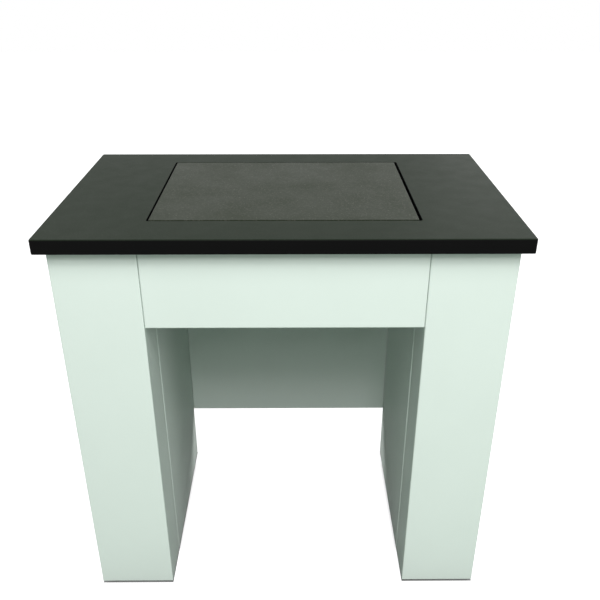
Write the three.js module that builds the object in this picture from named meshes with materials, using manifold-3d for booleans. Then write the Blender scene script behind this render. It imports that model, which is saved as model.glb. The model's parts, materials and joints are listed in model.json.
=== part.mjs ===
// A weighing balance table: a dark worktop on two sheet-steel pedestals, with a separate stone
// slab let into the worktop. The slab floats on rubber mounts, so that floor and worktop
// vibration doesn't reach what stands on it. Millimetres, +Z up, front towards -Y, origin on
// the floor under the middle of the worktop.

import * as THREE from 'three';
import { mergeVertices } from 'three/addons/utils/BufferGeometryUtils.js';
import Module from 'manifold-3d';

const wasm = await Module();
wasm.setup();

// Worktop
const tableHeight = 850;
const worktopWidth = 900;
const worktopDepth = 600;
const worktopThickness = 28;
const worktopCornerRadius = 5;
const worktopEdgeRound = 2.5;
const sideOverhang = 20;
const frontOverhang = 20;
const rearOverhang = 70;

// Cut-out in the worktop, and the slab that lies in it with a clear gap all round
const cutoutFrontMargin = 100;
const cutoutSideSetback = 7;
const cutoutCornerRadius = 4;
const cutoutEdgeRound = 0.6;
const slabGapLeft = 4;
const slabGapRight = 6;
const slabGapFront = 5;
const slabGapBack = 2;
const slabThickness = 40;
const slabCornerRadius = 3;
const slabEdgeRound = 0.6;

// Folded sheet of the pedestals, the apron and the back panel
const sheet = 1.2;
const foldInside = 1.3;
const pedestalWidth = 163;
const shellFloorGap = 6;
const frontLip = 105;
const rearLip = 57.5;
const panelSeam = 1.5;
const accessPanelFlange = 18;
const accessPanelProud = 1.5;
const apronHeight = 157;
const apronFlange = 25;
const backPanelFlange = 10;
const backPanelBottom = 157;
const infillSeam = 0.8;

// Welded tube frame, plates and beams that carry the slab
const frameTube = 30;
const frameWall = 2;
const frameEndSetback = 18;
const beamPlateSheet = 3;
const beamPlateDrop = 60;
const topPlateThickness = 3;
const basePlateThickness = 3;
const basePlateHeight = 20;
const beamWidth = 60;
const beamHeight = 48;
const beamSheet = 3;
const beamFoldInside = 2;
const beamEndPlate = 5;

// Slab tray, its pads and the rubber mounts under it
const padDiameter = 40;
const padInset = 32;
const trayInset = 20;
const trayLegWidth = 80;
const trayLegDepth = 30;
const traySheet = 4;
const mountInsetSide = 84;
const mountInsetEnd = 57;
const mountDiameter = 46;
const mountWaist = 38;
const mountRubberHeight = 40;
const mountPlate = 4;
const mountStud = 8;
const mountNutAcross = 13;
const mountTopNutHeight = 5;
const mountLowerNutHeight = 6.5;
const mountStudTip = 2.5;

// Levelling feet
const footInset = 50;
const footDiameter = 44;
const footNeckDiameter = 24;
const footRim = 4;
const footHeight = 12;
const footSocketDepth = 6;
const footScrew = 10;
const footScrewTip = 4;
const footTravel = 20;
const footCollarAcross = 17;
const footNutAcross = 17;
const footNutHeight = 8;

// Clearances: a stud in its hole, a plate inside folded sheet, a moving face before its stop,
// and the slab above the studs that hold its tray
const studClearance = 0.3;
const plateClearance = 0.3;
const stopClearance = 0.3;
const slabOverStuds = 2.5;

// Fineness of round shapes
const roundSteps = 24;
const cornerSteps = 3;

// Places that several pieces share
const worktopBottom = tableHeight - worktopThickness;
const pedestalFront = frontOverhang - worktopDepth / 2;
const pedestalBack = worktopDepth / 2 - rearOverhang;
const pedestalOuter = worktopWidth / 2 - sideOverhang;
const pedestalInner = pedestalOuter - pedestalWidth;
const pedestalMiddle = pedestalInner + pedestalWidth / 2;
const frontSeam = pedestalFront + frontLip;
const rearSeam = pedestalBack - rearLip;

const cutoutHalfWidth = pedestalInner - cutoutSideSetback;
const cutoutFront = cutoutFrontMargin - worktopDepth / 2;
const cutoutBack = pedestalBack - backPanelFlange;
const slabLeft = slabGapLeft - cutoutHalfWidth;
const slabRight = cutoutHalfWidth - slabGapRight;
const slabFront = cutoutFront + slabGapFront;
const slabBack = cutoutBack - slabGapBack;
const slabBottom = tableHeight - slabThickness;

const trayTop = slabBottom - mountTopNutHeight - mountStudTip - slabOverStuds;
const trayLeft = slabLeft + trayInset;
const trayRight = slabRight - trayInset;
const trayFront = slabFront + trayInset;
const trayBack = slabBack - trayInset;
const mountTop = trayTop - traySheet;
const mountRubberTop = mountTop - mountPlate;
const mountRubberBottom = mountRubberTop - mountRubberHeight;
const beamTop = mountRubberBottom - mountPlate;
const beamBottom = beamTop - beamHeight;
const beamWebBottom = beamTop - beamSheet;

const basePlateTop = basePlateHeight + basePlateThickness;
const topPlateBottom = worktopBottom - topPlateThickness;
const frameFace = pedestalInner + accessPanelFlange + plateClearance;
const frameBack = frameFace + frameTube;
const accessPanelTop = beamBottom - beamPlateDrop;

// Finishes
const finish = {
  coatedSteel: { color: 0xdde9e0, roughness: 0.3, metalness: 0 },
  darkBoard: { color: 0x2b2d2a, roughness: 0.45, metalness: 0 },
  darkStone: { color: 0x36382f, roughness: 0.35, metalness: 0 },
  framePaint: { color: 0x8d9493, roughness: 0.5, metalness: 0.2 },
  zincSteel: { color: 0xb9bcbc, roughness: 0.35, metalness: 0.9 },
  rubber: { color: 0x1c1c1b, roughness: 0.85, metalness: 0 },
  blackNylon: { color: 0x242525, roughness: 0.55, metalness: 0 },
};

const table = new THREE.Group();

function addPiece(name, geometry, look) {
  const mesh = new THREE.Mesh(geometry, new THREE.MeshStandardMaterial(look));
  mesh.name = name;
  table.add(mesh);
  return mesh;
}

// Joining and cutting closed shapes
function toSolid(geometry) {
  const bare = geometry.clone();
  bare.deleteAttribute('normal');
  bare.deleteAttribute('uv');
  const merged = mergeVertices(bare);
  const vertProperties = new Float32Array(merged.attributes.position.array);
  const triVerts = new Uint32Array(merged.index.array);
  return new wasm.Manifold(new wasm.Mesh({ numProp: 3, vertProperties, triVerts }));
}

function toGeometry(solid) {
  const { vertProperties, triVerts } = solid.getMesh();
  const geometry = new THREE.BufferGeometry();
  geometry.setAttribute('position', new THREE.BufferAttribute(vertProperties, 3));
  geometry.setIndex(new THREE.BufferAttribute(triVerts, 1));
  geometry.computeVertexNormals();
  return geometry;
}

function join(geometries) {
  const solids = geometries.map(toSolid);
  return solids.reduce((whole, next) => whole.add(next));
}

function cutFrom(solid, geometries) {
  return geometries.map(toSolid).reduce((rest, cutter) => rest.subtract(cutter), solid);
}

// Basic shapes
function block([x0, x1], [y0, y1], [z0, z1]) {
  const box = new THREE.BoxGeometry(Math.abs(x1 - x0), Math.abs(y1 - y0), Math.abs(z1 - z0));
  return box.translate((x0 + x1) / 2, (y0 + y1) / 2, (z0 + z1) / 2);
}

function upright(shape, z0, z1, curveSegments = cornerSteps) {
  const prism = new THREE.ExtrudeGeometry(shape, { depth: z1 - z0, bevelEnabled: false, curveSegments });
  return prism.translate(0, 0, z0);
}

// A section drawn in (y, z) and drawn out along X
function lengthwise(points, x0, x1) {
  const shape = new THREE.Shape(points);
  const drawn = new THREE.ExtrudeGeometry(shape, { depth: x1 - x0, bevelEnabled: false });
  const turn = new THREE.Matrix4().makeBasis(
    new THREE.Vector3(0, 1, 0),
    new THREE.Vector3(0, 0, 1),
    new THREE.Vector3(1, 0, 0),
  );
  return drawn.applyMatrix4(turn).translate(x0, 0, 0);
}

// A turned shape: the profile runs from the axis at the bottom to the axis at the top
function turned(profile, x, y, z) {
  const points = profile.map(([radius, height]) => new THREE.Vector2(radius, height));
  return new THREE.LatheGeometry(points, roundSteps).rotateX(Math.PI / 2).translate(x, y, z);
}

function hexagon(across) {
  const cornerRadius = across / Math.sqrt(3);
  const corners = Array.from({ length: 6 }, (unused, index) => (index * Math.PI) / 3);
  return corners.map((angle) => {
    return new THREE.Vector2(cornerRadius * Math.cos(angle), cornerRadius * Math.sin(angle));
  });
}

function nut(across, stud, height, x, y, z) {
  const shape = new THREE.Shape(hexagon(across));
  const bore = new THREE.Path().absarc(0, 0, stud / 2 + studClearance, 0, 2 * Math.PI, true);
  shape.holes.push(bore);
  return upright(shape, z, z + height, roundSteps / 2).translate(x, y, 0);
}

// A round prism, used as a stud and to cut holes
function bar(diameter, x, y, z0, z1) {
  const circle = new THREE.Shape().absarc(0, 0, diameter / 2, 0, 2 * Math.PI, false);
  return upright(circle, z0, z1, roundSteps / 2).translate(x, y, 0);
}

function roundedRectangle(across, along, radius) {
  const shape = new THREE.Shape();
  const x0 = Math.min(...across);
  const x1 = Math.max(...across);
  const [y0, y1] = along;
  shape.absarc(x1 - radius, y0 + radius, radius, -Math.PI / 2, 0, false);
  shape.absarc(x1 - radius, y1 - radius, radius, 0, Math.PI / 2, false);
  shape.absarc(x0 + radius, y1 - radius, radius, Math.PI / 2, Math.PI, false);
  shape.absarc(x0 + radius, y0 + radius, radius, Math.PI, 1.5 * Math.PI, false);
  return shape;
}

// A flat board with rounded corners and softened edges
function board(shape, z0, z1, edgeRound, edgeSteps) {
  const solid = new THREE.ExtrudeGeometry(shape, {
    depth: z1 - z0 - 2 * edgeRound,
    bevelThickness: edgeRound,
    bevelSize: edgeRound,
    bevelOffset: -edgeRound,
    bevelSegments: edgeSteps,
    curveSegments: cornerSteps,
  });
  return solid.translate(0, 0, z0 + edgeRound);
}

// Outline of folded sheet: the corners lie on its outside face, every fold turns right, and the
// sheet lies on the right-hand side of the line
function foldedOutline(corners, thickness, insideRadius) {
  const radius = insideRadius + thickness;
  const outside = [];
  const inside = [];
  const line = corners.map(([u, v]) => new THREE.Vector2(u, v));
  line.forEach((corner, index) => {
    const isFirst = index === 0;
    const isLast = index === line.length - 1;
    const arriving = isFirst ? null : corner.clone().sub(line[index - 1]).normalize();
    const leaving = isLast ? null : line[index + 1].clone().sub(corner).normalize();
    if (isFirst || isLast) {
      const along = arriving ?? leaving;
      const inward = new THREE.Vector2(along.y, -along.x);
      outside.push(corner);
      inside.push(corner.clone().addScaledVector(inward, thickness));
      return;
    }
    const middle = corner.clone().addScaledVector(arriving, -radius).addScaledVector(leaving, radius);
    const outward = new THREE.Vector2(-arriving.y, arriving.x);
    for (let step = 0; step <= cornerSteps; step += 1) {
      const angle = (step / cornerSteps) * (Math.PI / 2);
      const direction = outward.clone().multiplyScalar(Math.cos(angle));
      direction.addScaledVector(arriving, Math.sin(angle));
      outside.push(middle.clone().addScaledVector(direction, radius));
      inside.push(middle.clone().addScaledVector(direction, insideRadius));
    }
  });
  return [...outside, ...inside.reverse()];
}

// Rectangle whose two front corners are round: u runs across, v from front to back
function frontRounded([u0, u1], [v0, v1], radius) {
  const points = [];
  for (let step = 0; step <= cornerSteps; step += 1) {
    const angle = (step / cornerSteps) * (Math.PI / 2);
    points.push([u0 + radius * (1 - Math.cos(angle)), v0 + radius * (1 - Math.sin(angle))]);
  }
  for (let step = cornerSteps; step >= 0; step -= 1) {
    const angle = (step / cornerSteps) * (Math.PI / 2);
    points.push([u1 - radius * (1 - Math.cos(angle)), v0 + radius * (1 - Math.sin(angle))]);
  }
  return [...points, [u1, v1], [u0, v1]];
}

// A sheet face, towards -Y, with a flange folded back along each of its four edges
function foldedPan([x0, x1], [front, back], [z0, z1], thickness, insideRadius) {
  function rounded(inset, backEnd) {
    const across = [x0 + inset, x1 - inset];
    const depth = [front + inset, backEnd];
    const height = [z0 + inset, z1 - inset];
    const radius = insideRadius + thickness - inset;
    const plan = frontRounded(across, depth, radius).map(([x, y]) => new THREE.Vector2(x, y));
    const profile = frontRounded(height, depth, radius).map(([z, y]) => new THREE.Vector2(y, z));
    const fromAbove = toSolid(upright(new THREE.Shape(plan), ...height));
    return fromAbove.intersect(toSolid(lengthwise(profile, ...across)));
  }
  const hollow = rounded(thickness, back + thickness);
  return toGeometry(rounded(0, back).subtract(hollow));
}

// The same on the inner side of a pedestal, with its face towards the knee space
function innerPan(side, depth, [y0, y1], height, thickness, insideRadius) {
  const across = side < 0 ? [y0, y1] : [-y1, -y0];
  const pan = foldedPan(across, depth, height, thickness, insideRadius);
  return pan.rotateZ((-side * Math.PI) / 2);
}

// Worktop with its cut-out
function makeWorktop() {
  const outline = roundedRectangle(
    [-worktopWidth / 2, worktopWidth / 2],
    [-worktopDepth / 2, worktopDepth / 2],
    worktopCornerRadius,
  );
  const cutout = roundedRectangle(
    [-cutoutHalfWidth, cutoutHalfWidth],
    [cutoutFront, cutoutBack],
    cutoutCornerRadius,
  );
  const through = upright(cutout, worktopBottom - worktopThickness, tableHeight + worktopThickness);
  const softened = new THREE.ExtrudeGeometry(cutout, {
    depth: worktopThickness,
    bevelThickness: cutoutEdgeRound,
    bevelSize: cutoutEdgeRound,
    bevelSegments: 1,
    curveSegments: cornerSteps,
  });
  softened.translate(0, 0, tableHeight);
  const plain = toSolid(board(outline, worktopBottom, tableHeight, worktopEdgeRound, 3));
  addPiece('worktop', toGeometry(cutFrom(plain, [through, softened])), finish.darkBoard);
}

// Slab, tray and pads: what floats
function makeSlab() {
  const outline = roundedRectangle([slabLeft, slabRight], [slabFront, slabBack], slabCornerRadius);
  const slab = board(outline, slabBottom, tableHeight, slabEdgeRound, 1);
  addPiece('weighing_slab', slab, finish.darkStone);
}

function makeTray() {
  const top = [trayTop - trayLegDepth, trayTop];
  const plain = toSolid(block([trayLeft, trayRight], [trayFront, trayBack], top));
  const under = block(
    [trayLeft + traySheet, trayRight - traySheet],
    [trayFront + traySheet, trayBack - traySheet],
    [trayTop - 2 * trayLegDepth, trayTop - traySheet],
  );
  const window = block(
    [trayLeft + trayLegWidth, trayRight - trayLegWidth],
    [trayFront + trayLegWidth, trayBack - trayLegWidth],
    [trayTop - trayLegDepth, trayTop + trayLegDepth],
  );
  const studHoles = mountPlaces().map(({ x, y }) => {
    return bar(mountStud + 2 * studClearance, x, y, trayTop - trayLegDepth, trayTop + traySheet);
  });
  addPiece('slab_tray', toGeometry(cutFrom(plain, [under, window, ...studHoles])), finish.framePaint);
}

const ends = [['front', -1], ['rear', 1]];
const sides = [['left', -1], ['right', 1]];

// The four corners, each with the name that its pieces end in
function corners(atEnds = ends) {
  return atEnds.flatMap(([endName, end]) => {
    return sides.map(([sideName, side]) => ({ corner: `${endName}_${sideName}`, end, side }));
  });
}

// A beam lies under the tray's front leg and another under its rear leg
function beamMiddle(end) {
  return end < 0 ? trayFront + mountInsetEnd : trayBack - mountInsetEnd;
}

function mountPlaces(atEnds = ends) {
  return corners(atEnds).map(({ corner, end, side }) => ({
    corner,
    x: side < 0 ? trayLeft + mountInsetSide : trayRight - mountInsetSide,
    y: beamMiddle(end),
  }));
}

function makePads() {
  corners().forEach(({ corner, end, side }) => {
    const x = side < 0 ? trayLeft + padInset : trayRight - padInset;
    const y = end < 0 ? trayFront + padInset : trayBack - padInset;
    addPiece(`slab_pad_${corner}`, bar(padDiameter, x, y, trayTop, slabBottom), finish.rubber);
  });
}

// Rubber mounts: a plate with a stud at each end of a waisted rubber body
function makeMounts() {
  const plateRadius = mountDiameter / 2;
  const studRadius = mountStud / 2;
  const waistRadius = mountWaist / 2;
  const topStud = traySheet + mountTopNutHeight + mountStudTip;
  const lowerStud = beamSheet + mountLowerNutHeight + mountStudTip;
  const rubberProfile = [[0, 0]];
  const bulgeSteps = 2 * cornerSteps;
  for (let step = 0; step <= bulgeSteps; step += 1) {
    const share = step / bulgeSteps;
    const waist = (plateRadius - waistRadius) * Math.sin(Math.PI * share);
    rubberProfile.push([plateRadius - waist, mountRubberHeight * share]);
  }
  rubberProfile.push([0, mountRubberHeight]);
  const capProfile = [
    [0, 0],
    [plateRadius, 0],
    [plateRadius, mountPlate],
    [studRadius, mountPlate],
    [studRadius, mountPlate + topStud],
    [0, mountPlate + topStud],
  ];
  const baseProfile = [
    [0, -lowerStud],
    [studRadius, -lowerStud],
    [studRadius, 0],
    [plateRadius, 0],
    [plateRadius, mountPlate],
    [0, mountPlate],
  ];
  mountPlaces().forEach(({ corner, x, y }) => {
    addPiece(`mount_cap_${corner}`, turned(capProfile, x, y, mountRubberTop), finish.zincSteel);
    addPiece(`mount_rubber_${corner}`, turned(rubberProfile, x, y, mountRubberBottom), finish.rubber);
    addPiece(`mount_base_${corner}`, turned(baseProfile, x, y, beamTop), finish.zincSteel);
    const topNut = nut(mountNutAcross, mountStud, mountTopNutHeight, x, y, trayTop);
    addPiece(`mount_top_nut_${corner}`, topNut, finish.zincSteel);
    const lowerNutBottom = beamWebBottom - mountLowerNutHeight;
    const lowerNut = nut(mountNutAcross, mountStud, mountLowerNutHeight, x, y, lowerNutBottom);
    addPiece(`mount_lower_nut_${corner}`, lowerNut, finish.zincSteel);
  });
}

// Two channel beams, open below, with an end plate against each pedestal
function makeBeams() {
  ends.forEach(([endName, end]) => {
    const width = [beamMiddle(end) - beamWidth / 2, beamMiddle(end) + beamWidth / 2];
    const section = foldedOutline(
      [[width[0], beamBottom], [width[0], beamTop], [width[1], beamTop], [width[1], beamBottom]],
      beamSheet,
      beamFoldInside,
    );
    const height = [beamBottom, beamTop];
    const channelEnd = pedestalInner - beamEndPlate;
    const whole = join([
      lengthwise(section, -channelEnd, channelEnd),
      block([-pedestalInner, -channelEnd], width, height),
      block([channelEnd, pedestalInner], width, height),
    ]);
    const studHoles = mountPlaces([[endName, end]]).map(({ x, y }) => {
      return bar(mountStud + 2 * studClearance, x, y, beamBottom, beamTop + beamSheet);
    });
    addPiece(`${endName}_beam`, toGeometry(cutFrom(whole, studHoles)), finish.framePaint);
  });
}

// Folded shell of a pedestal: front, outer side and back in one sheet, with a lip at both ends
function makeShell(sideName, side) {
  const line = [
    [-pedestalInner, frontSeam],
    [-pedestalInner, pedestalFront],
    [-pedestalOuter, pedestalFront],
    [-pedestalOuter, pedestalBack],
    [-pedestalInner, pedestalBack],
    [-pedestalInner, rearSeam],
  ];
  const outline = foldedOutline(line, sheet, foldInside);
  const placed = outline.map((point) => new THREE.Vector2(-side * point.x, point.y));
  const shell = upright(new THREE.Shape(placed), shellFloorGap, worktopBottom);
  addPiece(`${sideName}_pedestal_shell`, shell, finish.coatedSteel);
}

// Between the lips: a lift-off panel below, which stands a little proud of them, and above it the
// plate that the beams bolt to. The flanges of both reach back to the tube frame.
function makeInnerPanels(sideName, side) {
  const along = [frontSeam + panelSeam, rearSeam - panelSeam];
  const panelHeight = [shellFloorGap, accessPanelTop];
  const panelDepth = [pedestalInner - accessPanelProud, pedestalInner + accessPanelFlange];
  const panel = innerPan(side, panelDepth, along, panelHeight, sheet, foldInside);
  addPiece(`${sideName}_access_panel`, panel, finish.coatedSteel);
  const plateHeight = [accessPanelTop + panelSeam, topPlateBottom];
  const plateDepth = [pedestalInner, frameFace];
  const plate = innerPan(side, plateDepth, along, plateHeight, beamPlateSheet, beamFoldInside);
  addPiece(`${sideName}_beam_plate`, plate, finish.coatedSteel);
}

// Welded tube frame: two uprights in line with the beams, a top and a bottom rail
function makeFrame(sideName, side) {
  const railEnds = [pedestalFront + frameEndSetback, pedestalBack - frameEndSetback];
  const frameHeight = [basePlateTop, topPlateBottom];
  const uprightMiddles = ends.map(([, end]) => beamMiddle(end));
  function tubes(inset, past) {
    const across = [side * (frameFace + inset), side * (frameBack - inset)];
    const half = frameTube / 2 - inset;
    const lengths = [railEnds[0] - past, railEnds[1] + past];
    const bottomRail = [frameHeight[0] + inset, frameHeight[0] + frameTube - inset];
    const topRail = [frameHeight[1] - frameTube + inset, frameHeight[1] - inset];
    const posts = uprightMiddles.map((middle) => {
      return block(across, [middle - half, middle + half], [frameHeight[0] - past, frameHeight[1] + past]);
    });
    return join([...posts, block(across, lengths, bottomRail), block(across, lengths, topRail)]);
  }
  const frame = tubes(0, 0).subtract(tubes(frameWall, frameTube));
  addPiece(`${sideName}_frame`, toGeometry(frame), finish.framePaint);
}

function footPlaces(side) {
  return ends.map(([endName, end]) => ({
    endName,
    x: side * pedestalMiddle,
    y: end < 0 ? pedestalFront + footInset : pedestalBack - footInset,
  }));
}

// Plates that close the top and the bottom of a pedestal
function makeEndPlates(sideName, side) {
  const edge = sheet + plateClearance;
  const outerEdge = side * (pedestalOuter - edge);
  const along = [pedestalFront + edge, pedestalBack - edge];
  const screwHoles = footPlaces(side).map(({ x, y }) => {
    return bar(footScrew + 2 * studClearance, x, y, 0, basePlateTop + basePlateThickness);
  });
  const baseOutline = roundedRectangle([side * frameFace, outerEdge], along, foldInside);
  const plainBase = toSolid(upright(baseOutline, basePlateHeight, basePlateTop));
  addPiece(`${sideName}_base_plate`, toGeometry(cutFrom(plainBase, screwHoles)), finish.framePaint);
  const topOutline = roundedRectangle([side * (pedestalInner + edge), outerEdge], along, foldInside);
  const topPlate = upright(topOutline, topPlateBottom, worktopBottom);
  addPiece(`${sideName}_top_plate`, topPlate, finish.framePaint);
}

// Levelling feet: a pad that the screw turns in, and a nut fixed on the base plate
function makeFeet(sideName, side) {
  const socketRadius = footScrew / 2 + studClearance;
  const collarBottom = footHeight + stopClearance;
  const collarTop = basePlateHeight - stopClearance;
  const screwBottom = footHeight - footSocketDepth + stopClearance;
  const screwTop = basePlateTop + footNutHeight + footTravel + footScrewTip;
  const padProfile = [
    [0, 0],
    [footDiameter / 2, 0],
    [footDiameter / 2, footRim],
    [footNeckDiameter / 2, footHeight],
    [socketRadius, footHeight],
    [socketRadius, footHeight - footSocketDepth],
    [0, footHeight - footSocketDepth],
  ];
  footPlaces(side).forEach(({ endName, x, y }) => {
    const corner = `${endName}_${sideName}`;
    addPiece(`foot_pad_${corner}`, turned(padProfile, x, y, 0), finish.blackNylon);
    const collarShape = new THREE.Shape(hexagon(footCollarAcross));
    const collar = upright(collarShape, collarBottom, collarTop).translate(x, y, 0);
    const stud = bar(footScrew, x, y, screwBottom, screwTop);
    addPiece(`foot_screw_${corner}`, toGeometry(join([stud, collar])), finish.zincSteel);
    const footNut = nut(footNutAcross, footScrew, footNutHeight, x, y, basePlateTop);
    addPiece(`foot_nut_${corner}`, footNut, finish.zincSteel);
  });
}

// Panels between the pedestals: the apron in front, the back panel behind
function makeInfillPanels() {
  const across = [infillSeam - pedestalInner, pedestalInner - infillSeam];
  const apronDepth = [pedestalFront, pedestalFront + apronFlange];
  const apronSpan = [worktopBottom - apronHeight, worktopBottom];
  const apron = foldedPan(across, apronDepth, apronSpan, sheet, foldInside);
  addPiece('front_apron', apron, finish.coatedSteel);
  const backPanelSpan = [backPanelBottom, worktopBottom];
  const backPanel = foldedPan(across, [cutoutBack, pedestalBack], backPanelSpan, sheet, foldInside);
  addPiece('back_panel', backPanel, finish.coatedSteel);
}

makeWorktop();
makeSlab();
makeTray();
makePads();
makeMounts();
makeBeams();
makeInfillPanels();
sides.forEach(([sideName, side]) => {
  makeShell(sideName, side);
  makeInnerPanels(sideName, side);
  makeFrame(sideName, side);
  makeEndPlates(sideName, side);
  makeFeet(sideName, side);
});

export default table;
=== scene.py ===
import json
import math

import bmesh
import bpy
from mathutils import Matrix, Vector


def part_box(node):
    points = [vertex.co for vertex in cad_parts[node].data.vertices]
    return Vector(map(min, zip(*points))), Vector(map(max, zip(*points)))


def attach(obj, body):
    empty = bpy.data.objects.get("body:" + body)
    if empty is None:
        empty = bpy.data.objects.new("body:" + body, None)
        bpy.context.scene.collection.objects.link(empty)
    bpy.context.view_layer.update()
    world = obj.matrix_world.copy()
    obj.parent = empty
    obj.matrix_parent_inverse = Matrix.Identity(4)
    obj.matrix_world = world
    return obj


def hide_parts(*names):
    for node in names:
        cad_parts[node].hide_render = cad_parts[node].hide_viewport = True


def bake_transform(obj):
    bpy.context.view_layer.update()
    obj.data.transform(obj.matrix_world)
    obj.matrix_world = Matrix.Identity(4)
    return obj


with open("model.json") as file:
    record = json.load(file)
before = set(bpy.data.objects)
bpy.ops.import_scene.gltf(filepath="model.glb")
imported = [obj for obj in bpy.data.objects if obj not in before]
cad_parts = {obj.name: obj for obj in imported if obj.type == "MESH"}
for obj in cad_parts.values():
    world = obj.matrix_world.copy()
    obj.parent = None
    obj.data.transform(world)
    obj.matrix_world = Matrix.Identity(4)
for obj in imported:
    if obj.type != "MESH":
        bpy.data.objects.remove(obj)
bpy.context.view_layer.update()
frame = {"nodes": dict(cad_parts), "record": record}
nodes = frame["nodes"]
scene = bpy.context.scene
scene.view_settings.view_transform = "Standard"
corners = ("front_left", "front_right", "rear_left", "rear_right")
mm = 0.001
white = (1, 1, 1, 1)
print("frame loaded,", len(nodes), "nodes")


# Camera
cameraView = {
    "position": (19.06 * mm, -1549.0 * mm, 1311.2 * mm),
    "yaw": 0.437,               # degrees to the right
    "pitch": 29.528,            # degrees down
    "roll": 0.034,
    "focalPixels": 747.47,
    "imagePixels": 600,
    "centreRow": 361.43,        # image row that the line of sight meets
    "sensorWidth": 36.0,
}


def makeCamera(view):
    data = bpy.data.cameras.new("tableCamera")
    data.sensor_width = view["sensorWidth"]
    data.lens = view["sensorWidth"] * view["focalPixels"] / view["imagePixels"]
    data.shift_y = view["centreRow"] / view["imagePixels"] - 0.5
    yaw, pitch, roll = (math.radians(view[name]) for name in ("yaw", "pitch", "roll"))
    forward = Vector((math.sin(yaw) * math.cos(pitch), math.cos(yaw) * math.cos(pitch), -math.sin(pitch)))
    right = Vector((math.cos(yaw), -math.sin(yaw), 0))
    up = right.cross(forward)
    rolledRight = math.cos(roll) * right + math.sin(roll) * up
    rolledUp = math.cos(roll) * up - math.sin(roll) * right
    turn = Matrix((rolledRight, rolledUp, -forward)).transposed().to_4x4()
    camera = bpy.data.objects.new("tableCamera", data)
    camera.matrix_world = Matrix.Translation(view["position"]) @ turn
    scene.collection.objects.link(camera)
    scene.camera = camera


makeCamera(cameraView)
print("camera set")


# Small helpers for node trees: a socket given as a value is linked, anything else is set
def addNode(tree, kind, sockets=None, **settings):
    node = tree.nodes.new(kind)
    for name, value in settings.items():
        setattr(node, name, value)
    for name, value in (sockets or {}).items():
        if isinstance(value, bpy.types.NodeSocket):
            tree.links.new(value, node.inputs[name])
        else:
            node.inputs[name].default_value = value
    return node


# Inputs and outputs give each socket's label and type
def newTree(name, kind, inputs, outputs):
    tree = bpy.data.node_groups.new(name, kind)
    for way, sockets in (("INPUT", inputs), ("OUTPUT", outputs)):
        for label, socketType in sockets.items():
            tree.interface.new_socket(label, in_out=way, socket_type="NodeSocket" + socketType)
    return tree, addNode(tree, "NodeGroupInput"), addNode(tree, "NodeGroupOutput")


def mathNode(tree, operation, first, second=0.0):
    return addNode(tree, "ShaderNodeMath", {0: first, 1: second}, operation=operation).outputs[0]


def rangeNode(tree, value, lowest, highest, start=0.0, end=1.0):
    sockets = {"Value": value, "From Min": lowest, "From Max": highest, "To Min": start, "To Max": end}
    return addNode(tree, "ShaderNodeMapRange", sockets).outputs["Result"]


def noiseNode(tree, place, scale, detail, roughness=0.5):
    sockets = {"Vector": place, "Scale": scale, "Detail": detail, "Roughness": roughness}
    return addNode(tree, "ShaderNodeTexNoise", sockets).outputs["Fac"]


def mixColours(tree, factor, first, second):
    sockets = {"Factor": factor, "A": first, "B": second}
    return addNode(tree, "ShaderNodeMix", sockets, data_type="RGBA").outputs["Result"]


def mixShaders(tree, factor, first, second):
    return addNode(tree, "ShaderNodeMixShader", {0: factor, 1: first.outputs[0], 2: second.outputs[0]})


# How far a face looks up: 1 for a level top, 0 for a side
def upwardNode(tree):
    normal = addNode(tree, "ShaderNodeNewGeometry").outputs["Normal"]
    return addNode(tree, "ShaderNodeSeparateXYZ", {0: normal}).outputs["Z"]


# Floor, air and lamps
studio = {
    "floorHalf": 9.0,
    "bounceFront": (0.31, 0.37, 0.33, 1),       # what the floor sends back to the object, in front of it
    "paintedShadeBounceUnder": (0.02, 0.02, 0.02, 1),       # and under it, darker as painted shade
    "bounceFrom": -0.45,
    "bounceTo": -0.15,
    "floorGlow": 1.0,
    "floorSeen": 0.30,          # share of the seen floor that takes light and shadow
    "contactReach": 0.012,
    "contactSamples": 8,
    "airLevel": 0.20,
    "airColour": (0.93, 1.0, 0.95, 1),
    "lamps": (
        {"name": "frontHighPanel", "at": (0.1, -2.56, 5.14), "aim": (0, 0, 0.5),
         "size": (1.2, 1.9), "watts": 129},
        {"name": "frontMidPanel", "at": (0.15, -3.52, 4.5), "aim": (0, 0, 0.5),
         "size": (1.2, 2.2), "watts": 116},
        {"name": "frontLowPanel", "at": (0.15, -4.16, 3.7), "aim": (0, 0, 0.5),
         "size": (1.2, 1.6), "watts": 47},
        {"name": "rightPanel", "at": (2.9, -1.3, 1.2), "aim": (0, 0, 0.4),
         "size": (1.0, 1.2), "watts": 11},
        {"name": "rearRightPanel", "at": (3.5, 2.3, 2.2), "aim": (0, 0, 0.6),
         "size": (2.0, 1.2), "watts": 85},
        {"name": "rearLeftPanel", "at": (-3.5, 2.3, 2.2), "aim": (0, 0, 0.6),
         "size": (2.0, 1.2), "watts": 85},
        {"name": "rearGlow", "at": (1.5, 2.8, 1.6), "aim": (0.2, 0, 0.85),
         "size": (1.3, 1.0), "watts": 4.5},
    ),
}


def seenDirectly(tree):
    rays = addNode(tree, "ShaderNodeLightPath")
    seen = mathNode(tree, "MAXIMUM", rays.outputs["Is Camera Ray"], rays.outputs["Is Glossy Ray"])
    return mathNode(tree, "MAXIMUM", seen, rays.outputs["Is Transmission Ray"])


def makeAir(level):
    world = bpy.data.worlds.new("studioAir")
    world.use_nodes = True
    tree = world.node_tree
    tree.nodes.clear()
    light = addNode(tree, "ShaderNodeBackground", {"Color": studio["airColour"], "Strength": level})
    backdrop = addNode(tree, "ShaderNodeBackground", {"Color": white, "Strength": 1.0})
    mix = mixShaders(tree, seenDirectly(tree), light, backdrop)
    addNode(tree, "ShaderNodeOutputWorld", {"Surface": mix.outputs[0]})
    scene.world = world


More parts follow.
